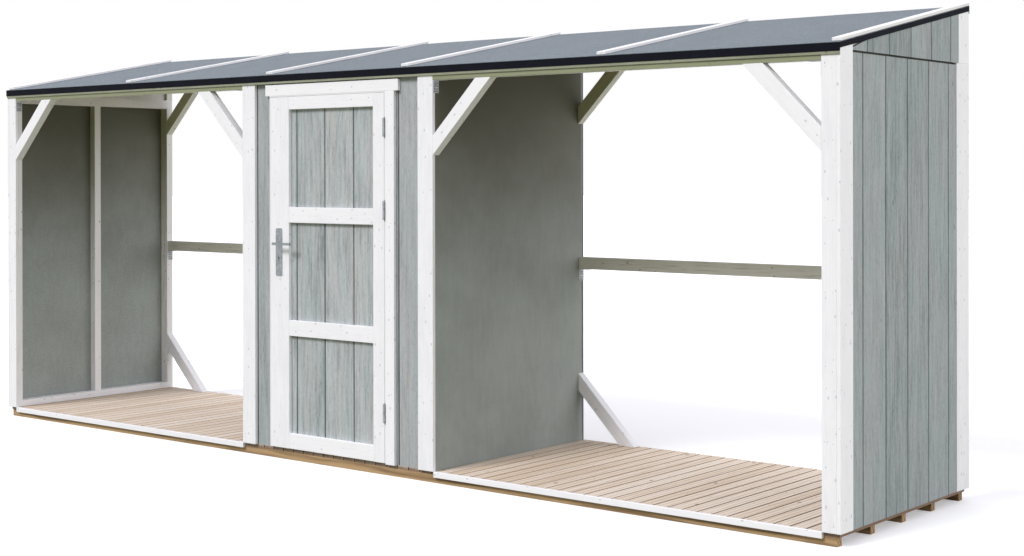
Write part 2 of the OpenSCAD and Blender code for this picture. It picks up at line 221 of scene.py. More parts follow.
def lay_grain(bm, seed, way=None):
    """Gives each board its own tone and run of grain, along its longest edge or a stated way."""
    draw = random.Random(seed)
    grain = bm.verts.layers.float_vector.new("grain")
    board = bm.verts.layers.float.new("board")
    for group in list(solids_of(bm)):
        edge = max((e for v in group for e in v.link_edges), key=lambda e: e.calc_length())
        along = way or (edge.verts[1].co - edge.verts[0].co).normalized()
        if sum(along) < 0:
            along = -along
        across = along.cross(Vector((0, 0, 1)) if abs(along.z) < 0.9 else Vector((0, 1, 0))).normalized()
        other = along.cross(across)
        shift = Vector((draw.uniform(2, 9), draw.uniform(2, 9), draw.uniform(2, 40)))
        value = draw.random()
        centre = sum((v.co for v in group), Vector()) / len(group)
        for v in group:
            off = v.co - centre
            v[grain] = Vector((off.dot(across), off.dot(other), off.dot(along))) + shift
            v[board] = value


def object_of(name, bm, *finishes):
    """A new object in the scene from a finished bmesh."""
    mesh = bpy.data.meshes.new(name)
    bm.to_mesh(mesh)
    bm.free()
    made = bpy.data.objects.new(name, mesh)
    scene.collection.objects.link(made)
    for finish in finishes:
        mesh.materials.append(finish)
    return made


def merged(node):
    """A CAD node's solids as a clean mesh: its loose triangles joined up into flat faces."""
    bm = bmesh.new()
    bm.from_mesh(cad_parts[node].data)
    bmesh.ops.remove_doubles(bm, verts=bm.verts, dist=0.00001)
    bmesh.ops.dissolve_limit(bm, angle_limit=math.radians(1), verts=bm.verts, edges=bm.edges)
    return bm


def eased(bm, ease, steps=2):
    """Takes the sharpness off every edge, as a plane or sandpaper does."""
    sharp = [e for e in bm.edges if e.is_manifold and e.calc_face_angle() > math.radians(20)]
    bmesh.ops.bevel(bm, geom=sharp, offset=ease, segments=steps, profile=0.5,
                    affect="EDGES", clamp_overlap=True)
    return bm


def timber(node, name, finish, ease=0.0016):
    """The timbers of one CAD node with eased edges and a grain along each."""
    bm = eased(merged(node), ease)
    lay_grain(bm, node)
    return object_of(name, bm, finish)


def fit(piece, body, slot, *nodes):
    """Fixes a piece to its body and lets it stand for its CAD nodes, which it hides. The slot, its finish's
    name, is not used.
    """
    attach(piece, body)
    if nodes:
        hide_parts(*nodes)
    return piece


def speckle(d, vector, scale, detail=2.0, rough=0.5):
    """Noise that is the same in every direction; scale is its features per metre."""
    return d.node("ShaderNodeTexNoise", sockets={
        "Vector": vector, "Scale": scale, "Detail": detail, "Roughness": rough})


def stretched(d, vector, across, along, detail=3.0, rough=0.6):
    """Noise drawn out along the grain; across and along are its features per metre."""
    scaled = d.node("ShaderNodeMapping", sockets={"Vector": vector, "Scale": (across, across, along)})
    return speckle(d, scaled, 1.0, detail, rough)


def mixed(d, factor, a, b, blend="MIX"):
    """One colour turned into another by a factor."""
    return d.node("ShaderNodeMix", {"data_type": "RGBA", "blend_type": blend},
                  {"Factor": factor, "A": a, "B": b})


def between(d, value, low, high, least=0.0, most=1.0):
    """A smooth step of a value between two levels."""
    return d.node("ShaderNodeMapRange", {"interpolation_type": "SMOOTHSTEP"}, {
        "Value": value, "From Min": low, "From Max": high, "To Min": least, "To Max": most})


def knots(d, grain, across, along, radius, share):
    """Round knots scattered over the faces of a timber; share is how many places have one."""
    part, rest, length = (coordinate(d, grain, axis) for axis in "XYZ")
    place = d.node("ShaderNodeCombineXYZ", sockets={"X": (part + rest) * across, "Y": length * along})
    cell = {"voronoi_dimensions": "2D", "feature": "F1"}
    at, dice = (d.node("ShaderNodeTexVoronoi", cell, {"Vector": place, "Scale": 1.0}, out=given)
                for given in ("Position", "Color"))
    off = d.node("ShaderNodeVectorMath", {"operation": "SUBTRACT"}, {0: place, 1: at}, out="Vector")
    real = d.node("ShaderNodeVectorMath", {"operation": "MULTIPLY"},
                  {0: off, 1: (1 / across, 0.6 / along, 0)}, out="Vector")
    away = d.node("ShaderNodeVectorMath", {"operation": "LENGTH"}, {0: real}, out="Value")
    chance, size = (d.node("ShaderNodeSeparateColor", sockets={"Color": dice}, out=channel)
                    for channel in ("Red", "Green"))
    reach = (size * 0.7 + 0.5) * radius
    return (1 - between(d, away / reach, 0.55, 1.1)) * (chance < share)


def surface(d, colour, rough, height, depth, **sockets):
    """The shader of a finish, with its relief, and the end of its diagram."""
    bump = d.node("ShaderNodeBump", sockets={
        "Strength": 1.0, "Distance": depth, "Height": height}, out="Normal")
    shader = d.node("ShaderNodeBsdfPrincipled", sockets={
        "Base Color": colour, "Roughness": rough, "Normal": bump, **sockets})
    d.node("ShaderNodeOutputMaterial", sockets={"Surface": shader})


def grain_and_board(d):
    """The place in a timber's own grain, and the board's own tone from 0 to 1."""
    return (d.node("ShaderNodeAttribute", {"attribute_name": "grain"}, out="Vector"),
            d.node("ShaderNodeAttribute", {"attribute_name": "board"}, out="Fac"))


def sawn_wood(name, pale, dark, knot_colour, rings=260.0, knot_share=0.35, tone_play=0.35):
    """Bare pine: growth rings about a pith, fine fibres and brown knots."""
    material, d = finish_named(name)
    grain, board = grain_and_board(d)
    sway = stretched(d, grain, 9.0, 1.3, 2.0)
    part, rest = coordinate(d, grain, "X"), coordinate(d, grain, "Y")
    year = d.node("ShaderNodeMath", {"operation": "SINE"}, {0: (part + rest * 0.6 + sway * 0.05) * rings})
    fibre = stretched(d, grain, 420.0, 9.0, 2.0)
    patch = stretched(d, grain, 12.0, 1.1, 3.0)
    knot = knots(d, grain, 9.0, 2.6, 0.008, knot_share)
    groove = d.node("ShaderNodeAttribute", {"attribute_name": "groove"}, out="Fac")
    mask = between(d, year * 0.22 + fibre * 0.7 + patch * 0.6 + (board - 0.5) * tone_play, 0.25, 1.15)
    colour = mixed(d, mask, pale, dark)
    colour = mixed(d, knot * 0.75, colour, knot_colour)
    # Painted shade: the planks' sides and the deck's joints are darkened, for the shade in the gaps between
    # boards.
    colour = mixed(d, groove * 0.85, colour, knot_colour)
    surface(d, colour, 0.62 + fibre * 0.2, fibre * 0.6 + year * 0.1 - knot * 0.5, 0.0004)
    return material


runner_wood = sawn_wood("treated_pine", tone(184, 154, 112), tone(112, 86, 56), tone(70, 51, 34),
                        300.0, 0.5, 0.6)
fit(timber("runners", "floor_runners", runner_wood, 0.0012), "store", "runner_wood", "runners")

# ---- The floor boards ------------------------------------------------------
# Narrow planed pine boards laid from front to back across the runners with a
# gap between them for air. Each is nailed down to every runner.


def repeating_tree(name, result, wanted):
    """A new geometry tree with named inputs, its diagram and the wires of those inputs."""
    tree = bpy.data.node_groups.new(name, "GeometryNodeTree")
    for label, kind in wanted:
        tree.interface.new_socket(name=label, in_out="INPUT", socket_type="NodeSocket" + kind)
    tree.interface.new_socket(name=result, in_out="OUTPUT", socket_type="NodeSocketGeometry")
    d = Diagram(tree)
    given = tree.nodes.new("NodeGroupInput")
    return tree, d, {s.name: Wire(d, s) for s in given.outputs if s.name}


def boarding_tree():
    """Repeats one board a step apart, and trims the row to a box and to the roof's slope."""
    tree, d, wire = repeating_tree("Boarding", "Boards", (
        ("Board", "Geometry"), ("Count", "Int"), ("Start", "Vector"), ("Step", "Vector"),
        ("Low Corner", "Vector"), ("High Corner", "Vector"), ("Roof Height", "Float"),
        ("Roof Slope", "Float"), ("Finish", "Material")))
    line = d.node("GeometryNodeMeshLine", {"mode": "OFFSET"}, {
        "Count": wire["Count"], "Start Location": wire["Start"], "Offset": wire["Step"]})
    row = d.node("GeometryNodeInstanceOnPoints", sockets={"Points": line, "Instance": wire["Board"]})
    solid = d.node("GeometryNodeRealizeInstances", sockets={"Geometry": row})
    place = d.node("GeometryNodeInputPosition")
    depth = coordinate(d, place, "Y")
    roof = d.node("ShaderNodeCombineXYZ", sockets={
        "X": 1000.0, "Y": 1000.0, "Z": wire["Roof Height"] + depth * wire["Roof Slope"]})
    lower = d.node("ShaderNodeVectorMath", {"operation": "MINIMUM"}, {0: place, 1: roof})
    inner = d.node("ShaderNodeVectorMath", {"operation": "MINIMUM"}, {0: lower, 1: wire["High Corner"]})
    kept = d.node("ShaderNodeVectorMath", {"operation": "MAXIMUM"}, {0: inner, 1: wire["Low Corner"]})
    cut = d.node("GeometryNodeSetPosition", sockets={"Geometry": solid, "Position": kept})
    clean = d.node("GeometryNodeMergeByDistance", sockets={"Geometry": cut, "Distance": 0.00004})
    painted = d.node("GeometryNodeSetMaterial", sockets={"Geometry": clean, "Material": wire["Finish"]})
    d.node("NodeGroupOutput", sockets={"Boards": painted})
    return tree


def made_by(tree, name, bm, **values):
    """The plain mesh that a geometry tree makes of a bmesh, with its named inputs set."""
    made = object_of(name, bm)
    works = made.modifiers.new(name, "NODES")
    works.node_group = tree
    for socket in tree.interface.items_tree:
        key = socket.name.replace(" ", "_").lower()
        if socket.in_out == "INPUT" and key in values:
            works[socket.identifier] = values[key]
    graph = bpy.context.evaluated_depsgraph_get()
    mesh = bpy.data.meshes.new_from_object(
        made.evaluated_get(graph), preserve_all_data_layers=True, depsgraph=graph)
    made.modifiers.clear()
    made.data = mesh
    mesh.name = name
    return made


boarding = boarding_tree()
no_roof = 1000.0


def prism(outline, start, run):
    """A closed outline carried along a vector; each of its points may hold a groove depth."""
    bm = bmesh.new()
    groove = bm.verts.layers.float.new("groove")
    ends = []
    for shift in (Vector(), Vector(run)):
        ring = []
        for point in outline:
            v = bm.verts.new(Vector(start) + Vector(point[0]) + shift)
            v[groove] = point[1]
            ring.append(v)
        ends.append(ring)
    count = len(outline)
    for i in range(count):
        j = (i + 1) % count
        bm.faces.new((ends[0][i], ends[0][j], ends[1][j], ends[1][i]))
    bm.faces.new(ends[0])
    bm.faces.new(ends[1])
    bmesh.ops.recalc_face_normals(bm, faces=bm.faces)
    return bm


def regrain(piece, seed, way=None):
    """Lays the grain on a row of boards that a geometry tree has made."""
    bm = bmesh.new()
    bm.from_mesh(piece.data)
    lay_grain(bm, seed, way)
    bm.to_mesh(piece.data)
    bm.free()
    return piece


plank_pitch = 0.0716
plank_gap = 0.0056
plank_round = 0.0025
plank_ease = plank_round * 0.3
first_plank = 0.001
planed_pine = sawn_wood("planed_pine", tone(226, 214, 200), tone(194, 171, 144), tone(108, 80, 56),
                        230.0, 0.35, 0.4)
for side in ("floor_left", "floor_cupboard", "floor_right"):
    low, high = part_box(side)
    wide, thick = plank_pitch - plank_gap, high.z - low.z
    outline = [(Vector(p), g) for p, g in (
        ((0, 0, 0), 1), ((wide, 0, 0), 1), ((wide, 0, thick - plank_round), 1),
        ((wide - plank_ease, 0, thick - plank_ease), 0.6), ((wide - plank_round, 0, thick), 0),
        ((plank_round, 0, thick), 0), ((plank_ease, 0, thick - plank_ease), 0.6),
        ((0, 0, thick - plank_round), 1))]
    count = math.ceil((high.x - low.x) / plank_pitch)
    planks = made_by(boarding, side + "_planks", prism(outline, (0, 0, 0), (0, high.y - low.y, 0)),
                     count=count, start=(low.x + first_plank, low.y, low.z), step=(plank_pitch, 0, 0),
                     low_corner=tuple(low), high_corner=tuple(high), roof_height=no_roof, roof_slope=0.0,
                     finish=planed_pine)
    fit(regrain(planks, side), "store", "floor_boards", side)

# ---- The sills, posts, rails and studs of the end walls --------------------
# Planed spruce in thin white paint, with faint grain and a few knots. The posts and
# studs have painted olive shade on their front faces from 0.9 m up towards the roof.


def white_paint(name, coat, under, knot_colour, olive_shade=None, shade_from=0.4):
    """Thin white paint on spruce: faint streaks and grey knots, and, given a shade colour, painted olive
    shade and darker painted streaks on front faces towards the roof.
    """
    material, d = finish_named(name)
    grain, board = grain_and_board(d)
    streak = stretched(d, grain, 110.0, 5.0, 3.0, 0.7)
    fibre = stretched(d, grain, 380.0, 14.0, 2.0)
    patch = stretched(d, grain, 14.0, 5.0, 3.0, 0.7)
    knot = knots(d, grain, 24.0, 9.0, 0.0046, 0.5)
    mask = between(d, streak * 0.4 + fibre * 0.25 + patch * 0.35 + (board - 0.5) * 0.12, 0.42, 0.68)
    colour = mixed(d, mask, coat, under)
    if olive_shade:
        # Painted shade: front faces turn olive from the given height up towards the roof, and their streaks
        # darken there, standing in for the roof's shade.
        spot = d.node("ShaderNodeTexCoord", out="Object")
        height = coordinate(d, spot, "Z")
        backwards = coordinate(d, d.node("ShaderNodeTexCoord", out="Normal"), "Y")
        ahead = between(d, backwards, -0.9, -0.1, 1.0, 0.1)
        colour = mixed(d, between(d, height + patch * 0.2, shade_from, 1.9) * ahead, colour, olive_shade)
        colour = mixed(d, between(d, streak, 0.52, 0.70) * ahead * 0.45, colour, knot_colour)
    colour = mixed(d, knot * 0.7, colour, knot_colour)
    surface(d, colour, 0.48 + streak * 0.2, fibre * 0.4 + streak * 0.5 - knot * 0.4, 0.00035)
    return material


white_timber = white_paint("white_paint", tone(243, 243, 245), tone(233, 234, 237), tone(192, 195, 199))
post_shaded_coat = white_paint("post_white_paint", tone(241, 241, 241), tone(229, 230, 228), tone(140, 141, 122),
                        tone(160, 162, 134), 0.9)
for node, name, finish in (("front_sills", "bay_sills", white_timber),
                           ("corner_posts", "corner_post_timbers", post_shaded_coat),
                           ("end_wall_rails", "end_wall_rail_timbers", white_timber),
                           ("end_wall_studs", "end_wall_stud_timbers", post_shaded_coat)):
    fit(timber(node, name, finish), "store", "white_timber", node)

# ---- The end walls ---------------------------------------------------------
# Upright tongued boards with a V at each joint, stained grey over a rough sawn
# face, so that the long grain shows in darker and paler streaks.


def grey_stain(name, pale, middle, dark, groove_colour):
    """Grey stain on rough boards: long streaks, cathedral grain, board by board tones."""
    material, d = finish_named(name)
    grain, board = grain_and_board(d)
    groove = d.node("ShaderNodeAttribute", {"attribute_name": "groove"}, out="Fac")
    sway = stretched(d, grain, 6.0, 1.5, 2.0)
    part, rest = coordinate(d, grain, "X"), coordinate(d, grain, "Y")
    year = d.node("ShaderNodeMath", {"operation": "SINE"}, {0: (part + rest + sway * 0.16) * 190.0})
    blotch = stretched(d, grain, 24.0, 3.0, 4.0, 0.7)
    long_streak = stretched(d, grain, 170.0, 2.0, 5.0, 0.8)
    short_streak = stretched(d, grain, 420.0, 26.0, 4.0, 0.8)
    wash = stretched(d, grain, 14.0, 1.8, 4.0)
    knot = knots(d, grain, 5.5, 1.7, 0.010, 0.3)
    shade = (blotch * 0.5 + long_streak * 0.55 + short_streak * 0.65 + year * 0.03
             + (board - 0.5) * 0.14 - 0.08)
    fibre = stretched(d, grain, 620.0, 7.0, 3.0, 0.7)
    fleck = stretched(d, grain, 230.0, 55.0, 3.0, 0.75)
    colour = mixed(d, between(d, shade, 0.56, 0.90), pale, middle)
    colour = mixed(d, between(d, fibre + (board - 0.5) * 0.06, 0.50, 0.66) * 0.30, colour, dark)
    colour = mixed(d, between(d, fleck, 0.50, 0.68) * 0.34, colour, dark)
    colour = mixed(d, between(d, shade, 0.77, 1.08), colour, dark)
    colour = mixed(d, between(d, wash, 0.44, 0.62) * 0.3, colour, tone(236, 230, 220), "MULTIPLY")
    colour = mixed(d, between(d, 1 - wash, 0.38, 0.60) * 0.4, colour, tone(222, 234, 231), "MULTIPLY")
    colour = mixed(d, knot * 0.5, colour, dark)
    # The V joints are painted near black: dark joints, deepened with painted shade.
    colour = mixed(d, groove * 0.85, colour, groove_colour)
    surface(d, colour, 0.66 + short_streak * 0.2, long_streak * 0.5 + short_streak * 0.6, 0.0007)
    return material


def vee_board(width, thick, height, turn):
    """An upright board with half a V and half a slot down each side, turned to face its way."""
    vee, slot, deep, play = 0.0045, 0.0009, 0.009, 0.00012
    shape = (((vee + slot, 0), 0), ((width - vee - slot, 0), 0), ((width - slot, vee), 1),
             ((width - slot, deep), 1), ((width - play, deep), 1), ((width - play, thick), 0),
             ((play, thick), 0), ((play, deep), 1), ((slot, deep), 1), ((slot, vee), 1))
    outline = [(Matrix.Rotation(turn, 3, "Z") @ Vector((x, y, 0)), g) for (x, y), g in shape]
    return prism(outline, (0, 0, 0), (0, 0, height))


def boarded(node, name, finish, facing, joint, pitch, slope=0.0):
    """Upright boards in a CAD node's place; joint is one V's distance from the node's low end."""
    low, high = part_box(node)
    turn = {"front": 0.0, "right": math.pi / 2, "back": math.pi, "left": -math.pi / 2}[facing]
    across = Matrix.Rotation(turn, 3, "Z") @ Vector((1, 0, 0))
    axis = 0 if abs(across.x) > 0.5 else 1
    thick = (high - low)[1 - axis]
    forward = across[axis] > 0
    first = low[axis] + joint - math.ceil(joint / pitch) * pitch
    count = math.ceil((high[axis] - first) / pitch)
    step = Vector((0, 0, 0))
    step[axis] = pitch
    start = Vector((0, 0, low.z))
    start[axis] = first if forward else first + pitch
    start[1 - axis] = {"front": low.y, "right": high.x, "back": high.y, "left": low.x}[facing]
    made = made_by(boarding, name, vee_board(pitch, thick, high.z - low.z, turn),
                   count=count, start=tuple(start), step=tuple(step),
                   low_corner=tuple(low), high_corner=tuple(high),
                   roof_height=high.z - high.y * slope if slope else no_roof, roof_slope=slope, finish=finish)
    return regrain(made, node, Vector((0, 0, 1)))


roof_pitch = 10.9
roof_slope = math.tan(math.radians(roof_pitch))
end_grey = grey_stain("end_wall_stain", tone(174, 180, 182), tone(151, 158, 159), tone(94, 103, 104),
                      tone(46, 52, 53))
wall_pitch = 0.199
wall_joint = 0.090
for node, facing in (("wall_left", "left"), ("wall_right", "right")):
    fit(boarded(node, node + "_boards", end_grey, facing, wall_joint, wall_pitch),
        "store", "grey_boarding", node)

# ---- The corner boards -----------------------------------------------------
# White boards that close the end walls' corners. The front pair run up to the
# roof; the back pair stop at the gable and butt against its own white board.
fit(timber("corner_boards", "corner_cover_boards", white_timber), "store", "white_timber", "corner_boards")

# ---- The gables ------------------------------------------------------------
# The wedge of boarding over each end wall stands a little proud of it, so that
# rain drips clear. A white board closes it at the back.
gable_pitch = 0.195
gable_joint = 0.123
for node, facing in (("gable_left", "left"), ("gable_right", "right")):
    fit(boarded(node, node + "_boards", end_grey, facing, gable_joint, gable_pitch, roof_slope),
        "store", "grey_boarding", node)
for node, name in (("gable_back_boards", "gable_cover_boards"), ("gable_frames", "gable_wedges")):
    fit(timber(node, name, white_timber), "store", "white_timber", node)

# ---- The side sheets and the end walls' linings ----------------------------
# Smooth exterior plywood, primed and rolled with a flat grey paint, which leaves
# a faint mottle. It walls the cupboard's sides and lines the end walls.


def rolled_grey(name, pale, dark, sheet_shade):
    """Flat grey paint put on with a roller: a soft mottle, with painted shade, darker and browner, towards
    the roof.
    """
    material, d = finish_named(name)
    spot = d.node("ShaderNodeTexCoord", out="Object")
    cloud = speckle(d, spot, 2.6, 4.0, 0.6)
    streak = stretched(d, spot, 34.0, 9.0, 3.0, 0.5)
    peel = speckle(d, spot, 190.0, 3.0)
    colour = mixed(d, between(d, cloud * 0.45 + streak * 0.2 + peel * 0.6, 0.45, 0.82), pale, dark)
    height = coordinate(d, spot, "Z")
    # Painted shade: the grey darkens to a brown olive towards the roof, for the roof's shade.
    colour = mixed(d, between(d, height + cloud * 0.3, 0.75, 2.05), colour, sheet_shade)
    surface(d, colour, 0.6 + peel * 0.15, peel * 0.5 + streak * 0.5, 0.0003)
    return material


grey_sheet = rolled_grey("rolled_grey", tone(158, 166, 162), tone(138, 145, 141), tone(76, 75, 56))
for node in ("cupboard_wall_left", "cupboard_wall_right", "end_wall_linings"):
    fit(timber(node, node + "_sheet", grey_sheet, 0.0008), "store", "grey_sheet", node)

# ---- The cupboard's boarding -----------------------------------------------
# The same grey boards as on the end walls close the cupboard's back and the
# strips of its front on either side of the door and over it.
# This grey is the door's grey painted darker: painted shade for the roof's shade on the front strips, which
# the back wall shares.
cupboard_grey = grey_stain("cupboard_stain", tone(184, 187, 189), tone(164, 168, 170), tone(108, 115, 118),
                           tone(60, 65, 66))
for node, facing, joint, slope in (("cupboard_wall_back", "back", 0.063, 0.0),
                                   ("cupboard_front_left", "front", 0.083, roof_slope),
                                   ("cupboard_front_right", "front", 0.072, roof_slope),
                                   ("cupboard_front_over_door", "front", 0.003, roof_slope)):
    fit(boarded(node, node + "_boards", cupboard_grey, facing, joint, wall_pitch, slope),
        "store", "grey_boarding", node)

# ---- The cupboard's frame --------------------------------------------------
# Studs in the cupboard's corners, rebated jambs for the door to close against,
# and a lintel across them, all in the same painted spruce.
for node, name in (("cupboard_studs", "cupboard_stud_timbers"), ("door_jambs", "door_jamb_timbers"),
                   ("door_lintel", "door_lintel_timber")):
    fit(timber(node, name, white_timber), "store", "white_timber", node)

# ---- The cover boards on the front -----------------------------------------
# Flat white boards nailed over the corners, the door's hinge side and the head
# of the doorway.
for node, name in (("front_trims", "front_cover_boards"), ("door_head_trim", "door_head_board")):
    fit(timber(node, name, white_timber), "store", "white_timber", node)

# ---- Beams and rails -------------------------------------------------------
# Beams carry the roof over the bays and a rail crosses the back of each bay. Their
# white is duller, with painted olive shade on front faces, darkest under the eave.
roof_shaded_coat = white_paint("thin_white_paint", tone(238, 238, 234), tone(224, 224, 216), tone(132, 132, 108),
                        tone(172, 173, 142))
eave_shaded_coat = white_paint("eave_white_paint", tone(238, 238, 234), tone(224, 224, 216), tone(112, 114, 88),
                        tone(138, 143, 112))
for node, name in (("front_beams", "front_beam_timbers"), ("back_beam", "back_beam_timber"),
                   ("back_rails", "back_rail_timbers")):
    finish = eave_shaded_coat if node == "front_beams" else roof_shaded_coat
    fit(timber(node, name, finish), "store", "white_timber", node)

# ---- The braces ------------------------------------------------------------
# Short timbers mitred across the bays' corners. The front and the low ones are
# plain white, and the high ones at the back have the beams' painted olive shade.
for node, name, finish in (("front_braces", "front_brace_timbers", white_timber),
                           ("back_upper_braces", "back_upper_brace_timbers", roof_shaded_coat),
                           ("back_lower_braces", "back_lower_brace_timbers", white_timber)):
    fit(timber(node, name, finish), "store", "white_timber", node)

# ---- The rafters -----------------------------------------------------------
# Painted timbers on edge, with the painted olive shade of the beams, which they join. Each
# slopes up from the front timbers to the back beam and carries the roof boarding.
fit(timber("rafters", "rafter_timbers", roof_shaded_coat), "store", "white_timber", "rafters")

# ---- The roof boarding -----------------------------------------------------
# Planed pine boards with a V at each joint, laid along the store and nailed to the
# rafters. They are bare underneath, and the felt covers them on top.
low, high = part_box("roof_deck")
deck_pitch = 0.0943
deck_slot, deck_vee, deck_deep, deck_play = 0.0012, 0.003, 0.006, 0.0001
rise = (high.y - low.y) * roof_slope
thick = high.z - low.z - rise
far_slot, far_play = deck_pitch - deck_slot, deck_pitch - deck_play
outline = [(Vector(p), g) for p, g in (
    ((0, deck_slot, 0), 0.5), ((0, deck_slot + deck_vee, -deck_vee), 0),
    ((0, deck_pitch - (deck_slot + deck_vee), -deck_vee), 0), ((0, far_slot, 0), 0.5),
    ((0, far_slot, deck_deep), 1), ((0, far_play, deck_deep), 1), ((0, far_play, thick - deck_vee), 0),
    ((0, deck_play, thick - deck_vee), 0), ((0, deck_play, deck_deep), 1), ((0, deck_slot, deck_deep), 1))]
deck = made_by(boarding, "roof_boards", prism(outline, (0, 0, deck_vee), (high.x - low.x, 0, 0)),
               count=math.ceil((high.y - low.y) / deck_pitch), start=(low.x, low.y, 0),
               step=(0, deck_pitch, 0), low_corner=(low.x, low.y, 0), high_corner=(high.x, high.y, thick),
               roof_height=no_roof, roof_slope=0.0, finish=planed_pine)
regrain(deck, "roof_deck")
slope_up = Matrix.Identity(4)
slope_up[2][1] = roof_slope
slope_up[2][3] = low.z - low.y * roof_slope
deck.data.transform(slope_up)
fit(deck, "store", "floor_boards", "roof_deck")

# ---- The roofing felt ------------------------------------------------------
# Sheets of bitumen felt faced with blue-grey mineral, nailed to the boards and
# turned down over the eaves and the verges, where the edge is bare black.
low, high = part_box("roof_felt")
rise = (high.y - low.y) * roof_slope
thick = high.z - low.z - rise
bm = bmesh.new()
columns, rows, ripple = 220, 40, 0.0011
grid = [[bm.verts.new((low.x + (high.x - low.x) * i / columns, low.y + (high.y - low.y) * j / rows, 0))
         for i in range(columns + 1)] for j in range(rows + 1)]
for j in range(rows):
    for i in range(columns):
        bm.faces.new((grid[j][i], grid[j][i + 1], grid[j + 1][i + 1], grid[j + 1][i]))
under = bmesh.ops.extrude_face_region(bm, geom=list(bm.faces))
lifted = [v for v in under["geom"] if isinstance(v, bmesh.types.BMVert)]
for v in lifted:
    wave = noise.noise(Vector((v.co.x * 2.3, v.co.y * 3.1, 4.0))) + 0.5 * noise.noise(v.co * 9.0)
    v.co.z = thick - ripple * (0.75 + 0.5 * wave)
bmesh.ops.recalc_face_normals(bm, faces=bm.faces)
slope_up[2][3] = low.z - low.y * roof_slope
bm.transform(slope_up)


def mineral_felt(name, pale, dark, fleck):
    """Crushed mineral bedded in bitumen: coloured grains and broad patches darkened by the weather."""
    material, d = finish_named(name)
    spot = d.node("ShaderNodeTexCoord", out="Object")
    grit = d.node("ShaderNodeTexVoronoi", sockets={"Vector": spot, "Scale": 380.0}, out="Color")
    lot = d.node("ShaderNodeSeparateColor", sockets={"Color": grit}, out="Red")
    coarse = speckle(d, spot, 120.0, 3.0)
    patch = speckle(d, spot, 3.0, 5.0, 0.65)
    colour = mixed(d, between(d, lot * 0.5 + coarse * 0.5, 0.25, 0.8), dark, pale)
    colour = mixed(d, between(d, patch, 0.35, 0.7) * 0.3, colour, dark)
    colour = mixed(d, (lot > 0.93) * 0.5, colour, fleck)
    surface(d, colour, 0.82 + lot * 0.12, lot * 0.6 + coarse * 0.8, 0.0009)
    return material


felt_face = mineral_felt("mineral_felt", tone(124, 133, 139), tone(91, 100, 107), tone(166, 172, 176))
felt = object_of("roof_felt_sheet", bm, felt_face)
fit(felt, "store", "roofing_felt", "roof_felt")


def bitumen(name, black, grey):
    """The bare black edge of the felt, with a little dust on it."""
    material, d = finish_named(name)
    spot = d.node("ShaderNodeTexCoord", out="Object")
    dust = speckle(d, spot, 14.0, 5.0, 0.7)
    grit = speckle(d, spot, 300.0)
    colour = mixed(d, between(d, dust * 0.7 + grit * 0.3, 0.45, 0.8), black, grey)
    surface(d, colour, 0.75 + grit * 0.2, grit, 0.0006, **{"Specular IOR Level": 0.1})
    return material


felt_edge = bitumen("felt_edge", tone(14, 16, 24), tone(26, 28, 37))
for node, name in (("felt_eaves", "felt_eave_strips"), ("felt_verges", "felt_verge_strips")):
    fit(timber(node, name, felt_edge, 0.0004), "store", "felt_edge", node)

# ---- The fascia boards and the roof battens ---------------------------------
# A thin board under the front eave and a thick one at the back, painted dark olive as
# painted shade under the felt's edge, and flat battens that hold the felt down over its joints and verges.
fascia_shade_coat = white_paint("dull_white_paint", tone(150, 153, 132), tone(127, 130, 108), tone(94, 97, 76))
weathered_white = white_paint("weathered_white_paint", tone(230, 230, 229), tone(216, 216, 215),
                              tone(186, 187, 188))
for node, name, finish in (("fascia_boards", "fascia_timbers", fascia_shade_coat),
                           ("roof_battens", "roof_batten_timbers", weathered_white)):
    fit(timber(node, name, finish), "store", "white_timber", node)

# ---- The door --------------------------------------------------------------
# A boarded door: grey boards behind, with white stiles and rails planted on the
# face to make three panels.
door_grey = grey_stain("door_stain", tone(202, 205, 206), tone(181, 186, 187), tone(122, 129, 131),
                       tone(64, 69, 70))
door_joint = 0.175
fit(boarded("door_boards", "door_face_boards", door_grey, "front", door_joint, wall_pitch),
    "door", "grey_boarding", "door_boards")
for node, name in (("door_stiles", "door_stile_timbers"), ("door_rails", "door_rail_timbers")):
    fit(timber(node, name, white_timber), "door", "white_timber", node)

# ---- The pale gap strips ---------------------------------------------------
# Pale strips that fill the gap round the leaf, on the lock side, over it and between
# the hinges: painted light in the gap, so that its shade hardly shows.
material, d = finish_named("pale_foam")
spot = d.node("ShaderNodeTexCoord", out="Object")
fill_mottle = speckle(d, spot, 700.0)
surface(d, mixed(d, fill_mottle, tone(236, 236, 236), tone(222, 223, 225)), 0.8 + fill_mottle * 0.1, fill_mottle, 0.0003)
leaf_low, leaf_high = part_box("door_boards")
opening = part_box("cupboard_front_over_door")
face_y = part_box("door_stiles")[0].y
hinge_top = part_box("hinge_frame_leaves")[1].z
fill_sunk, fill_short, lock_gap, leaf_gap, hinge_gap = 0.0004, 0.004, 0.0016, 0.001, 0.004
strip_y = (face_y + fill_sunk, leaf_high.y - fill_short)
top_z = opening[0].z
hinge_x = (leaf_high.x + leaf_gap, opening[1].x)
strips = [((opening[0].x, leaf_low.x - lock_gap), (leaf_low.z, top_z)),
          ((leaf_low.x - lock_gap, hinge_x[0]), (leaf_high.z + leaf_gap, top_z))]
edges_z = [leaf_low.z]
bm = merged("hinge_frame_leaves")
heights = sorted(sum((v.co.z for v in group), 0.0) / len(group) for group in solids_of(bm))
bm.free()
half_hinge = (hinge_top - heights[-1]) + hinge_gap
for middle in heights:
    edges_z += [middle - half_hinge, middle + half_hinge]
edges_z.append(top_z)
strips += [(hinge_x, (edges_z[i], edges_z[i + 1])) for i in range(0, len(edges_z), 2)]
bm = bmesh.new()
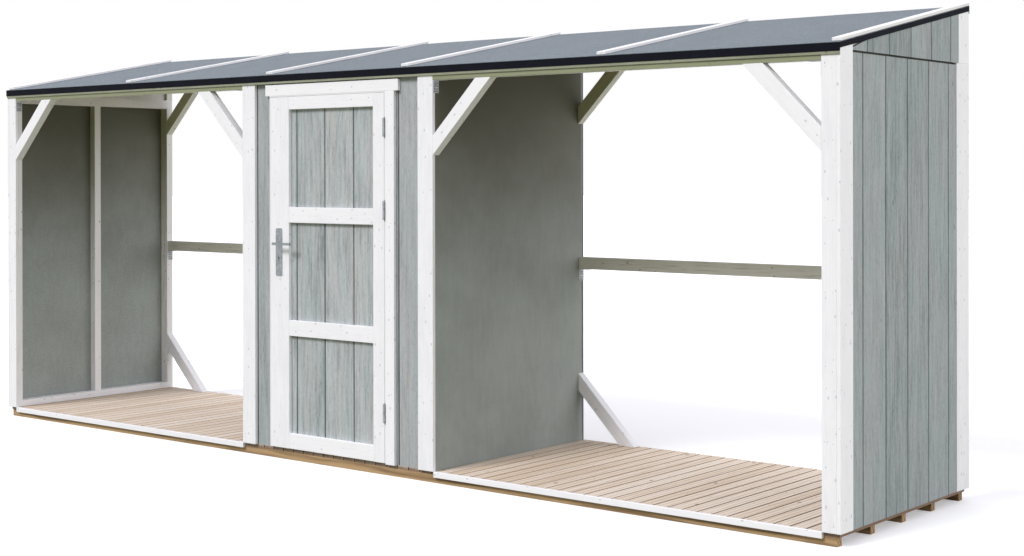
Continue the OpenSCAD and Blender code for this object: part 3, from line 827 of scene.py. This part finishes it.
for (x0, x1), (z0, z1) in strips:
    block = bmesh.ops.create_cube(bm, size=1.0)
    for v in block["verts"]:
        v.co = Vector((x1 if v.co.x > 0 else x0, strip_y[1] if v.co.y > 0 else strip_y[0],
                       z1 if v.co.z > 0 else z0))
fit(object_of("draught_strips", eased(bm, 0.0006), material), "store", "white_timber")

# ---- The hinges and the angle plates ---------------------------------------
# Pressed steel with a dull zinc plating. The hinges are let into the door's edge
# and the frame, and the angle plates are screwed up under the beams and rails.


def satin_steel(name, pale, dark, rough, metal=0.85):
    """Brushed or plated steel with a fine drawn grain and a little tarnish."""
    material, d = finish_named(name)
    spot = d.node("ShaderNodeTexCoord", out="Object")
    line = stretched(d, spot, 1400.0, 60.0, 2.0, 0.5)
    cloud = speckle(d, spot, 60.0, 3.0)
    colour = mixed(d, between(d, line * 0.4 + cloud * 0.6, 0.35, 0.7), pale, dark)
    surface(d, colour, rough + cloud * 0.15, line, 0.00004, Metallic=metal)
    return material


plated = satin_steel("zinc_plate", tone(160, 163, 166), tone(118, 122, 126), 0.42)
galvanised = satin_steel("galvanised_steel", tone(200, 203, 206), tone(166, 170, 174), 0.55, 0.35)
for node, name, body, finish in (("hinge_frame_leaves", "hinge_frame_halves", "store", plated),
                                 ("hinge_door_leaves", "hinge_door_halves", "door", plated),
                                 ("beam_brackets", "beam_angle_plates", "store", galvanised),
                                 ("rail_brackets", "rail_angle_plates", "store", galvanised)):
    fit(timber(node, name, finish, 0.0003), body, "zinc_steel", node)

# ---- The handle ------------------------------------------------------------
# A satin steel lever on each side of the door, with long plates that have rounded
# ends, a keyhole under the lever and a screw at each end.


def rounded_plates(node, radius):
    """A CAD node's plates with their four corners rounded and their rims eased."""
    bm = merged(node)
    corners = [e for e in bm.edges if abs((e.verts[1].co - e.verts[0].co).normalized().y) > 0.99
               and e.is_manifold and e.calc_face_angle() > math.radians(80)]
    bmesh.ops.bevel(bm, geom=corners, offset=radius, segments=5, profile=0.5, affect="EDGES")
    return eased(bm, 0.0006)


satin = satin_steel("satin_steel", tone(150, 156, 157), tone(120, 127, 128), 0.34)
bm = rounded_plates("handle_plates", 0.008)
lay_grain(bm, "handle_plates")
fit(object_of("handle_long_plates", bm, satin), "door", "handle_metal", "handle_plates")
for node, ease in (("lever_outer", 0.003), ("lever_inner", 0.003), ("lever_spindle", 0.0006)):
    fit(timber(node, node + "_bar", satin, ease), "lever", "handle_metal", node)
# The keyholes and the angle plates' holes are flat dark discs on the metal: painted shade in place of holes.
material, d = finish_named("lock_shadow")
spot = d.node("ShaderNodeTexCoord", out="Object")
hole_shade_mottle = speckle(d, spot, 500.0)
surface(d, mixed(d, hole_shade_mottle, tone(24, 25, 27), tone(40, 41, 43)), 0.5 + hole_shade_mottle * 0.2, hole_shade_mottle, 0.0001)
plate_low, plate_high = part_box("handle_plates")
spindle = (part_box("lever_spindle")[0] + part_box("lever_spindle")[1]) / 2
# Half the width, half the height and the drop below the spindle of a keyhole's round and of its slot.
keyhole = ((0.0048, 0.0048, 0.072), (0.0024, 0.0085, 0.0785))
keyhole_thick, keyhole_proud = 0.0006, 0.0001
bm = bmesh.new()
for y, way in ((plate_low.y, -1), (plate_high.y, 1)):
    for wide, tall, drop in keyhole:
        disc = bmesh.ops.create_cone(bm, cap_ends=True, segments=20, radius1=1.0, radius2=1.0,
                                     depth=keyhole_thick)
        for v in disc["verts"]:
            x, up, out = v.co
            v.co = Vector((spindle.x + x * wide, y + way * keyhole_proud + out, spindle.z - drop + up * tall))
bmesh.ops.recalc_face_normals(bm, faces=bm.faces)
fit(object_of("keyholes", bm, material), "door", "handle_metal")

# ---- The nails and screws --------------------------------------------------
# Small heads, driven just proud: in pairs up the cover boards, along the door's
# rails and stiles, at every runner in the floor, and through the handle's and the
# angle plates. Those in white boards are painted over, and the others are zinc.


def fixing_tree():
    """Sets out heads in rows, each a little off its place."""
    tree, d, wire = repeating_tree("Fixings", "Heads", (
        ("Head", "Geometry"), ("Count", "Int"), ("Start", "Vector"), ("Step", "Vector"), ("Rows", "Int"),
        ("Row Step", "Vector"), ("Play", "Vector"), ("Seed", "Int"), ("Finish", "Material")))
    line = d.node("GeometryNodeMeshLine", {"mode": "OFFSET"}, {
        "Count": wire["Count"], "Start Location": wire["Start"], "Offset": wire["Step"]})
    row = d.node("GeometryNodeMeshLine", {"mode": "OFFSET"}, {
        "Count": wire["Rows"], "Offset": wire["Row Step"]})
    rows = d.node("GeometryNodeInstanceOnPoints", sockets={"Points": line, "Instance": row})
    places = d.node("GeometryNodeRealizeInstances", sockets={"Geometry": rows})
    low = d.node("ShaderNodeVectorMath", {"operation": "SCALE"},
                 {"Vector": wire["Play"], "Scale": -1.0}, out="Vector")
    play = d.node("FunctionNodeRandomValue", {"data_type": "FLOAT_VECTOR"}, {
        "Min": low, "Max": wire["Play"], "Seed": wire["Seed"]})
    moved = d.node("GeometryNodeSetPosition", sockets={"Geometry": places, "Offset": play})
    heads = d.node("GeometryNodeInstanceOnPoints", sockets={"Points": moved, "Instance": wire["Head"]})
    solid = d.node("GeometryNodeRealizeInstances", sockets={"Geometry": heads})
    painted = d.node("GeometryNodeSetMaterial", sockets={"Geometry": solid, "Material": wire["Finish"]})
    d.node("NodeGroupOutput", sockets={"Heads": painted})
    return tree


def head(facing, radius):
    """A low round head, sunk a little at its middle, that faces a way."""
    sides, proud = 10, 0.0005
    angles = [a * math.pi / (sides / 2) for a in range(sides)]
    bm = bmesh.new()
    rings = []
    for reach, rise in ((1.0, -0.002), (1.0, proud * 0.6), (0.82, proud), (0.35, proud), (0.25, proud * 0.2)):
        rings.append([bm.verts.new((radius * reach * math.cos(a), radius * reach * math.sin(a), rise))
                      for a in angles])
    for lower, upper in zip(rings, rings[1:]):
        for i in range(sides):
            j = (i + 1) % sides
            bm.faces.new((lower[i], lower[j], upper[j], upper[i]))
    bm.faces.new(rings[-1])
    bm.faces.new(rings[0])
    bmesh.ops.recalc_face_normals(bm, faces=bm.faces)
    bm.transform(Vector(facing).to_track_quat("Z", "Y").to_matrix().to_4x4())
    return bm


fixing = fixing_tree()


def driven(name, body, finish, runs):
    """One piece of all the heads in some runs: facing, start, step, count, row step, rows, play, radius."""
    whole = bmesh.new()
    for i, (facing, start, step, count, row_step, rows, play, radius) in enumerate(runs):
        part = made_by(fixing, name + str(i), head(facing, radius), count=count, start=tuple(start),
                       step=tuple(step), rows=rows, row_step=tuple(row_step), play=tuple(play), seed=i + 3,
                       finish=finish)
        whole.from_mesh(part.data)
        bpy.data.objects.remove(part)
    return fit(object_of(name, whole, finish), body, "zinc_steel")


def extent(group):
    """How far a solid reaches along X, Y and Z: a low and a high value for each."""
    return [(min(v.co[axis] for v in group), max(v.co[axis] for v in group)) for axis in range(3)]


nail_zinc = satin_steel("nail_zinc", tone(150, 152, 154), tone(110, 112, 115), 0.5)
painted_nail = rolled_grey("painted_nails", tone(212, 213, 216), tone(190, 192, 196), tone(200, 201, 204))
front, back, left, right, top, under = (0, -1, 0), (0, 1, 0), (-1, 0, 0), (1, 0, 0), (0, 0, 1), (0, 0, -1)
still = (0, 0, 0)
nail_r, screw_r, plate_screw_r, hole_r = 0.0021, 0.0036, 0.0034, 0.0030

trim_edge, trim_foot, trim_ends, trim_nails = 0.016, 0.05, 0.12, 7
runs = []
bm = merged("front_trims")
for group in solids_of(bm):
    (x0, x1), _, (z0, z1) = extent(group)
    step = (z1 - z0 - trim_ends) / (trim_nails - 1)
    runs.append((front, (x0 + trim_edge, face_y, z0 + trim_foot), (0, 0, step), trim_nails,
                 (x1 - x0 - 2 * trim_edge, 0, 0), 2, (0.004, 0, 0.012), nail_r))
bm.free()
corner_edge, corner_foot, corner_step, corner_nails = 0.02, 0.05, 0.35, 6
wall_low, wall_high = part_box("corner_boards")
side_low, side_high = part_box("wall_right")
for facing, x in ((right, wall_high.x), (left, wall_low.x)):
    for y, width in ((wall_low.y, side_low.y - wall_low.y), (side_high.y, wall_high.y - side_high.y)):
        runs.append((facing, (x, y + corner_edge, wall_low.z + corner_foot), (0, 0, corner_step),
                     corner_nails, (0, width - 2 * corner_edge, 0), 2, (0, 0.005, 0.012), nail_r))
driven("cover_board_nails", "store", painted_nail, runs)

runner_low, runner_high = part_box("runners")
runner_side = runner_high.z - runner_low.z
runner_count = 5
runner_step = (runner_high.y - runner_low.y - runner_side) / (runner_count - 1)
runs = []
for node in ("floor_left", "floor_cupboard", "floor_right"):
    low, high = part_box(node)
    count = int((high.x - low.x - first_plank) / plank_pitch)
    for plank_nail in (0.016, 0.052):
        runs.append((top, (low.x + plank_nail, runner_low.y + runner_side / 2, high.z), (plank_pitch, 0, 0),
                     count, (0, runner_step, 0), runner_count, (0.003, 0.005, 0), nail_r))
driven("floor_nails", "store", nail_zinc, runs)

door_edge, stile_foot, stile_step = 0.03, 0.06, 0.33
runs = []
bm = merged("door_rails")
for group in solids_of(bm):
    (x0, x1), _, (z0, z1) = extent(group)
    runs.append((front, (x0 + door_edge, face_y, (z0 + z1) / 2), ((x1 - x0 - 2 * door_edge) / 3, 0, 0), 4,
                 still, 1, (0.006, 0, 0.012), nail_r))
bm.free()
stile_low, stile_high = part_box("door_stiles")
for x in (stile_low.x + door_edge, stile_high.x - door_edge):
    runs.append((front, (x, face_y, stile_low.z + stile_foot), (0, 0, stile_step), 6,
                 still, 1, (0.006, 0, 0.01), nail_r))
driven("door_nails", "door", painted_nail, runs)

screw_end = 0.012
runs = [(facing, (spindle.x, y, z), still, 1, still, 1, still, screw_r)
        for z in (plate_low.z + screw_end, plate_high.z - screw_end)
        for facing, y in ((front, plate_low.y), (back, plate_high.y))]
driven("handle_screws", "door", nail_zinc, runs)

# Each angle plate has one leg against a post, with rows of holes and four screws, and one under a timber.
plate_thick, leg_edge = 0.0025, 0.009
screws, holes = [], []
for node in ("beam_brackets", "rail_brackets"):
    bm = merged(node)
    for group in solids_of(bm):
        (x0, x1), (y0, y1), (z0, z1) = extent(group)
        leg_on_right = sum(v.co.x for v in group if v.co.z < z0 + 0.001) > 4 * (x0 + x1) / 2
        turned, leg_x = (left, x1 - plate_thick) if leg_on_right else (right, x0 + plate_thick)
        wide = y1 - y0 - 2 * leg_edge
        for heads, inward, rise, step, count, rows, radius in (
                (holes, 0, 0.006, 0.013, 4, 3, hole_r),
                (screws, wide / 4, 0.0125, 0.026, 2, 2, plate_screw_r)):
            heads.append((turned, (leg_x, y0 + leg_edge + inward, z0 + rise), (0, 0, step), count,
                          (0, wide / 2, 0), rows, still, radius))
        screws.append((under, (x0 + 0.018, y0 + screw_end, z1 - plate_thick), (0.022, 0, 0), 2,
                       (0, y1 - y0 - 2 * screw_end, 0), 2, still, plate_screw_r))
    bm.free()
driven("angle_plate_screws", "store", nail_zinc, screws)
# The holes are flat dark discs: painted shade in place of real holes.
driven("angle_plate_holes", "store", bpy.data.materials["lock_shadow"], holes)
